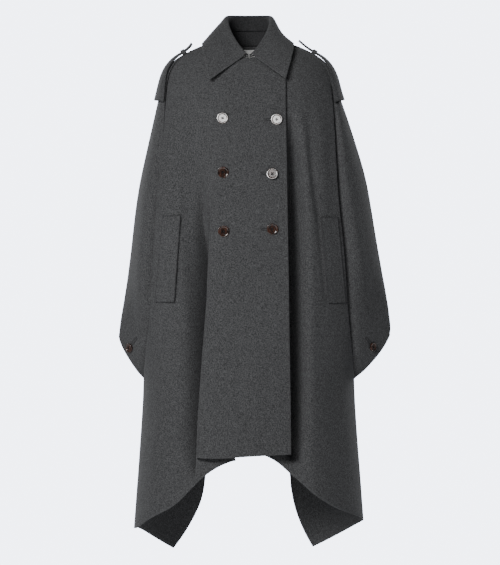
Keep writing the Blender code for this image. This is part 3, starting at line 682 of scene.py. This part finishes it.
ARM_EDGE_BELOW = -0.64
ARM_EDGE_BEYOND = 0.245


def at_arm_edge(spot):
    return spot.z < ARM_EDGE_BELOW and abs(spot.x) > ARM_EDGE_BEYOND


for side, seed in (("right", 4.3), ("left", 8.9)):
    arm = cloth_copy(side + "_sleeve_panel", side + "_arm_panel")
    press_creases(arm, ARM_CREASES[side])
    ripple(arm, size=0.09, height=1.8 * MM, seed=seed)
    finish_cloth(
        arm, side + "_arm_panel",
        at_arm_edge,
    )


# Collar. A stand follows the neck inside, and a wide pointed fall is sewn to it, rolls over and
# lies on the shoulders. Both are wool, felled together at the outer edge.
COLLAR_MIDDLE_Y = 0.03
COLLAR_EDGE_BELOW = 0.03
FACES_INWARD = -0.25
# The collar's inside: a much darker wool, painted shade for the shadow inside the neck, with its cut
# edges painted darker still.
COLLAR_PAINTED_SHADE_WOOL = make_wool(
    "felted_wool_collar_inside_painted_shade", (0.012, 0.012, 0.013), 0.3,
    dark=(0.010, 0.0102, 0.0108), light=(0.034, 0.0345, 0.036),
)

# The whole stand takes the darker wool: painted shade.
collar_stand = cloth_copy("collar_stand_band", "collar_stand")
finish_cloth(
    collar_stand, "collar_stand",
    wool=COLLAR_PAINTED_SHADE_WOOL,
)


def at_collar_edge(spot):
    return spot.z < COLLAR_EDGE_BELOW


collar_fall = cloth_copy("collar_leaf", "collar_fall")
finish_cloth(
    collar_fall, "collar_fall",
    at_collar_edge,
)
collar_fall.data.materials.append(COLLAR_PAINTED_SHADE_WOOL)
# Faces of the fall turned in towards the neck take the darker wool: painted shade on the collar's
# inside.
for face in collar_fall.data.polygons:
    away = Vector((face.center.x, face.center.y - COLLAR_MIDDLE_Y, 0)).normalized()
    if face.normal.dot(away) < FACES_INWARD and face.center.z > 0.0:
        face.material_index = 1


# Shoulder straps. A doubled strip of wool on each shoulder, sewn into the sleeve at its lower end.
# Its free end points at the neck and is held down by a narrow keeper loop.
for side in ("right", "left"):
    strap = cloth_copy(side + "_epaulette", side + "_shoulder_strap")
    # Every cut edge of the strap counts as free, so its whole outline gets the painted shadow line.
    finish_cloth(
        strap, side + "_shoulder_strap",
        lambda spot: True, EDGE_SHADOWED_WOOL,
    )
    loop = cloth_copy(side + "_keeper_loop", side + "_strap_loop")
    finish_cloth(
        loop, side + "_strap_loop"
    )


# Pocket welts. A slanted strip of doubled wool over each pocket mouth, sewn down at both short
# ends and along its outer side, next to the sleeve seam.
for side in ("right", "left"):
    welt = cloth_copy(side + "_welt", side + "_pocket_welt")
    # Every cut edge of the welt counts as free, so its whole outline gets the painted shadow line.
    finish_cloth(
        welt, side + "_pocket_welt",
        lambda spot: True, EDGE_SHADOWED_WOOL,
    )


# Neck label. A plain woven label is sewn inside the back below the collar, left without any words.
LABEL_TONE = (0.80, 0.80, 0.79)
LABEL_THREADS = 400.0


def make_label_cloth():
    material = plain_material("label_weave", LABEL_TONE, 0.8)
    tree = material.node_tree
    shader = tree.nodes["Principled BSDF"]
    coordinates = add_node(tree, "ShaderNodeTexCoord")
    threads = add_node(tree, "ShaderNodeTexWave", bands_direction="Z")
    threads.inputs["Scale"].default_value = LABEL_THREADS
    tree.links.new(coordinates.outputs["Object"], threads.inputs["Vector"])
    bump = add_node(tree, "ShaderNodeBump")
    bump.inputs["Distance"].default_value = 0.0003
    tree.links.new(threads.outputs["Fac"], bump.inputs["Height"])
    tree.links.new(bump.outputs["Normal"], shader.inputs["Normal"])
    return material


label = cloth_copy("back_neck_label", "neck_label")
measure_from_edge(label, lambda spot: False)
label.data.materials.clear()
label.data.materials.append(make_label_cloth())
label.data.shade_smooth()
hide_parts("neck_label")
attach(label, "root")


# Buttonholes. Each is a slit with a rim of close thread stitches. The three on the flap lie under
# its edge buttons and show on their inner side; one more lies aslant at each sleeve's lower corner.
HOLE_WIDTH = 4.2
HOLE_THREAD = 0.9
HOLE_FLATNESS = 0.8
THREAD_DARK = (0.005, 0.005, 0.006)
THREAD_PALE = (0.022, 0.022, 0.024)
THREAD_TURNS = 700.0
FLAP_HOLE_LENGTH = 31
FLAP_HOLE_INWARD = 9
SLEEVE_HOLE_LENGTH = 24


def make_thread():
    """Twisted buttonhole thread, darker than the wool, with its turns across the stitch."""
    material = plain_material("dark_thread", THREAD_DARK, 0.7)
    tree = material.node_tree
    shader = tree.nodes["Principled BSDF"]
    coordinates = add_node(tree, "ShaderNodeTexCoord")
    turns = add_node(tree, "ShaderNodeTexWave", bands_direction="DIAGONAL")
    turns.inputs["Scale"].default_value = THREAD_TURNS
    turns.inputs["Distortion"].default_value = 1.5
    tree.links.new(coordinates.outputs["Object"], turns.inputs["Vector"])
    colours = add_node(tree, "ShaderNodeMix", data_type="RGBA")
    colours.inputs[6].default_value = (*THREAD_DARK, 1.0)
    colours.inputs[7].default_value = (*THREAD_PALE, 1.0)
    tree.links.new(turns.outputs["Fac"], colours.inputs["Factor"])
    tree.links.new(colours.outputs[2], shader.inputs["Base Color"])
    bump = add_node(tree, "ShaderNodeBump")
    bump.inputs["Distance"].default_value = 0.0003
    tree.links.new(turns.outputs["Fac"], bump.inputs["Height"])
    tree.links.new(bump.outputs["Normal"], shader.inputs["Normal"])
    return material


THREAD = make_thread()


def lay_on(piece, panel):
    """Moves a piece drawn in the XZ plane onto a panel's front; its -Y becomes height off the cloth."""
    tree = BVHTree.FromObject(panel, bpy.context.evaluated_depsgraph_get())
    for vert in piece.data.vertices:
        place, normal, _, _ = tree.ray_cast(Vector((vert.co.x, -1.0, vert.co.z)), Vector((0, 1, 0)))
        vert.co = place - normal * vert.co.y
    piece.data.update()


def at_origin(piece):
    """Applies a new piece's place and turn, so that its object sits at the origin."""
    piece.data.transform(piece.matrix_world)
    piece.matrix_world = Matrix.Identity(4)


def add_buttonhole(name, centre, length, slant, panel):
    """A rim of thread, a stretched ring, round a slit that shows dark between its sides."""
    bpy.ops.object.select_all(action="DESELECT")
    bpy.ops.mesh.primitive_torus_add(
        major_radius=HOLE_WIDTH / 2 * MM, minor_radius=HOLE_THREAD * MM, major_segments=48,
        minor_segments=8, rotation=(math.radians(90), 0, 0),
    )
    rim = bpy.context.object
    rim.name = name
    at_origin(rim)
    stretch = (length / 2 - HOLE_WIDTH / 2) * MM
    for vert in rim.data.vertices:
        vert.co.x += math.copysign(stretch, vert.co.x) if abs(vert.co.x) > 0.00001 else 0.0
        vert.co.y *= HOLE_FLATNESS
    rim.data.transform(Matrix.Rotation(slant, 4, "Y"))
    rim.data.transform(Matrix.Translation((centre[0] * MM, 0, centre[1] * MM)))
    lay_on(rim, panel)
    rim.data.shade_smooth()
    rim.data.materials.append(THREAD)
    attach(rim, "root")


FLAP_BUTTONS = {"top": (63, -182), "middle": (53, -307), "bottom": (53, -433)}
for row, (x, z) in FLAP_BUTTONS.items():
    centre = (x - FLAP_HOLE_INWARD, z)
    add_buttonhole("flap_buttonhole_" + row, centre, FLAP_HOLE_LENGTH, 0.0, right_front)
SLEEVES = {side: bpy.data.objects[side + "_sleeve_panel"] for side in ("right", "left")}
SLEEVE_HOLES = {"right": (-268, -691, -0.9), "left": (279, -690, 0.9)}
for side, (x, z, slant) in SLEEVE_HOLES.items():
    add_buttonhole(side + "_sleeve_buttonhole", (x, z), SLEEVE_HOLE_LENGTH, slant, SLEEVES[side])


# Buttons. Turned from dark brown horn, with a raised rim, a shallow dish and four holes, polished.
# Six on the front and one at each sleeve corner, each sewn through with crossed dark thread.
FRONT_BUTTON = 25.4
SLEEVE_BUTTON = 20.4
BUTTON_THICKNESS = 3.6
# Shares of the button's radius
HOLE_SPREAD = 0.17
HOLE_RADIUS = 0.1105
RIM_SHARE = 0.18
DISH_WALL = 0.09
DISH_FLOOR = 0.05
BACK_RIM = 0.16
THREAD_RADIUS = 0.055
THREAD_SAG = 0.12
# Shares of the button's thickness
DISH_DEPTH = 0.20
BACK_BULGE = 0.05
SOFT_EDGE = 0.09
THREAD_HEIGHT = 0.74
HORN_DARK = (0.010, 0.006, 0.005)
HORN_STREAK = (0.070, 0.028, 0.017)
STREAK_SCALE = 260.0


def make_horn():
    """Horn: near-black brown with reddish streaks that run through it, under a clear polish."""
    material = plain_material("polished_horn", HORN_DARK, 0.18)
    tree = material.node_tree
    shader = tree.nodes["Principled BSDF"]
    coordinates = add_node(tree, "ShaderNodeTexCoord")
    turned = add_node(tree, "ShaderNodeMapping")
    turned.inputs["Rotation"].default_value = (0.3, 0.9, 0.2)
    turned.inputs["Scale"].default_value = (1.0, 1.0, 0.25)
    tree.links.new(coordinates.outputs["Object"], turned.inputs["Vector"])
    streaks = noise_at(tree, turned.outputs["Vector"], STREAK_SCALE, 4.0, 0.6)
    ramp = add_node(tree, "ShaderNodeValToRGB")
    ramp.color_ramp.elements[0].position = 0.42
    ramp.color_ramp.elements[0].color = (*HORN_DARK, 1.0)
    ramp.color_ramp.elements[1].position = 0.68
    ramp.color_ramp.elements[1].color = (*HORN_STREAK, 1.0)
    tree.links.new(streaks, ramp.inputs["Fac"])
    tree.links.new(ramp.outputs["Color"], shader.inputs["Base Color"])
    polish = add_node(tree, "ShaderNodeMapRange")
    polish.inputs["To Min"].default_value = 0.12
    polish.inputs["To Max"].default_value = 0.26
    tree.links.new(streaks, polish.inputs["Value"])
    tree.links.new(polish.outputs["Result"], shader.inputs["Roughness"])
    shader.inputs["IOR"].default_value = 1.56
    shader.inputs["Coat Weight"].default_value = 0.9
    shader.inputs["Coat Roughness"].default_value = 0.06
    return material


HORN = make_horn()


def select_faces(piece, test):
    """Selects the faces that pass the test, for the next edit-mode operators."""
    bpy.ops.object.mode_set(mode="EDIT")
    edit = bmesh.from_edit_mesh(piece.data)
    for face in edit.faces:
        face.select_set(test(face))
    bmesh.update_edit_mesh(piece.data)


def turn_button(width):
    """One button lying on the XY plane: rim, dish, soft edges and four drilled holes."""
    radius = width / 2 * MM
    thickness = BUTTON_THICKNESS * MM
    bpy.ops.object.select_all(action="DESELECT")
    bpy.ops.mesh.primitive_cylinder_add(
        vertices=48, radius=radius, depth=thickness, location=(0, 0, thickness / 2),
    )
    disc = bpy.context.object
    disc.name = "horn_button"
    at_origin(disc)
    select_faces(disc, lambda face: face.normal.z > 0.9)
    bpy.ops.mesh.inset(thickness=radius * RIM_SHARE)
    bpy.ops.mesh.inset(thickness=radius * DISH_WALL)
    bpy.ops.transform.translate(value=(0, 0, -thickness * DISH_DEPTH))
    bpy.ops.mesh.inset(thickness=radius * DISH_FLOOR)
    select_faces(disc, lambda face: face.normal.z < -0.9)
    bpy.ops.mesh.inset(thickness=radius * BACK_RIM)
    bpy.ops.transform.translate(value=(0, 0, -thickness * BACK_BULGE))
    bpy.ops.object.mode_set(mode="OBJECT")
    softened = disc.modifiers.new("Softened", "BEVEL")
    softened.width = thickness * SOFT_EDGE
    softened.segments = 3
    softened.limit_method = "ANGLE"
    softened.angle_limit = math.radians(28)
    apply_all(disc)
    for corner in range(4):
        angle = math.radians(45 + 90 * corner)
        bpy.ops.object.select_all(action="DESELECT")
        bpy.ops.mesh.primitive_cylinder_add(
            vertices=12, radius=radius * HOLE_RADIUS, depth=thickness * 3,
            location=(radius * HOLE_SPREAD * math.cos(angle), radius * HOLE_SPREAD * math.sin(angle), 0),
        )
        drill = bpy.context.object
        drilled = disc.modifiers.new("Drilled", "BOOLEAN")
        drilled.operation = "DIFFERENCE"
        drilled.solver = "EXACT"
        drilled.object = drill
        apply_all(disc)
        bpy.data.objects.remove(drill)
    disc.data.materials.append(HORN)
    disc.data.shade_smooth()
    bpy.ops.object.select_all(action="DESELECT")
    disc.select_set(True)
    bpy.context.view_layer.objects.active = disc
    bpy.ops.object.shade_smooth_by_angle(angle=math.radians(35))
    return disc


def cross_thread(width):
    """Two crossed stitches from hole to hole, as one piece."""
    radius = width / 2 * MM
    reach = radius * HOLE_SPREAD * 2
    top = BUTTON_THICKNESS * THREAD_HEIGHT * MM
    bars = []
    for angle in (45, 135):
        bpy.ops.object.select_all(action="DESELECT")
        bpy.ops.mesh.primitive_cylinder_add(
            vertices=10, radius=radius * THREAD_RADIUS, depth=reach, rotation=(0, math.radians(90), 0),
        )
        bar = bpy.context.object
        at_origin(bar)
        select_faces(bar, lambda face: abs(face.normal.x) < 0.5)
        bpy.ops.mesh.subdivide(number_cuts=4)
        bpy.ops.object.mode_set(mode="OBJECT")
        for vert in bar.data.vertices:
            vert.co.z -= (vert.co.x / reach * 2) ** 4 * radius * THREAD_SAG
        bar.data.transform(Matrix.Rotation(math.radians(angle), 4, "Z"))
        bar.data.transform(Matrix.Translation((0, 0, top)))
        bars.append(bar)
    bpy.ops.object.select_all(action="DESELECT")
    for bar in bars:
        bar.select_set(True)
    bpy.context.view_layer.objects.active = bars[0]
    bpy.ops.object.join()
    thread = bpy.context.object
    thread.data.shade_smooth()
    thread.data.materials.clear()
    thread.data.materials.append(THREAD)
    return thread


def button_frame(node, raised, turned_out):
    """Where a button sits: its underside's centre, and its face raised and turned out by degrees."""
    low, high = (np.array(corner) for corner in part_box(node))
    up_angle, side_angle = math.radians(raised), math.radians(turned_out)
    normal = Vector((
        math.sin(side_angle) * math.cos(up_angle), -math.cos(side_angle) * math.cos(up_angle),
        math.sin(up_angle),
    ))
    side = Vector((0, 0, 1)).cross(normal).normalized()
    up = normal.cross(side).normalized()
    place = Matrix((side, up, normal)).transposed().to_4x4()
    place.translation = Vector((low + high) / 2) - normal * BUTTON_THICKNESS * MM / 2
    return place


# How far each button faces up, and out towards the wearer's left, as it hangs on its thread, and how
# far it is turned on that thread, in degrees. The three that face the front card shine.
BUTTON_TILTS = {
    "front_button_top_right": (4.6, -3.2, 8),
    "front_button_top_left": (4.6, -4.8, 40),
    "front_button_middle_right": (-2, 4, 20),
    "front_button_middle_left": (9.5, -5.4, 5),
    "front_button_bottom_right": (-3, 3, 30),
    "front_button_bottom_left": (-4, 4, 12),
    "left_arm_button": (-4, 42, 24),
    "right_arm_button": (-4, -42, 50),
}
masters = {}
for width in (FRONT_BUTTON, SLEEVE_BUTTON):
    masters[width] = (turn_button(width), cross_thread(width))
for node, (raised, turned_out, spin) in BUTTON_TILTS.items():
    width = SLEEVE_BUTTON if "arm" in node else FRONT_BUTTON
    place = button_frame(node, raised, turned_out) @ Matrix.Rotation(math.radians(spin), 4, "Z")
    for master, ending in zip(masters[width], ("_horn", "_thread")):
        copied = bpy.data.objects.new(node + ending, master.data.copy())
        bpy.context.scene.collection.objects.link(copied)
        copied.data.transform(place)
        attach(copied, "root")
        if ending == "_horn":
            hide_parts(node)
for disc, thread in masters.values():
    bpy.data.objects.remove(disc)
    bpy.data.objects.remove(thread)
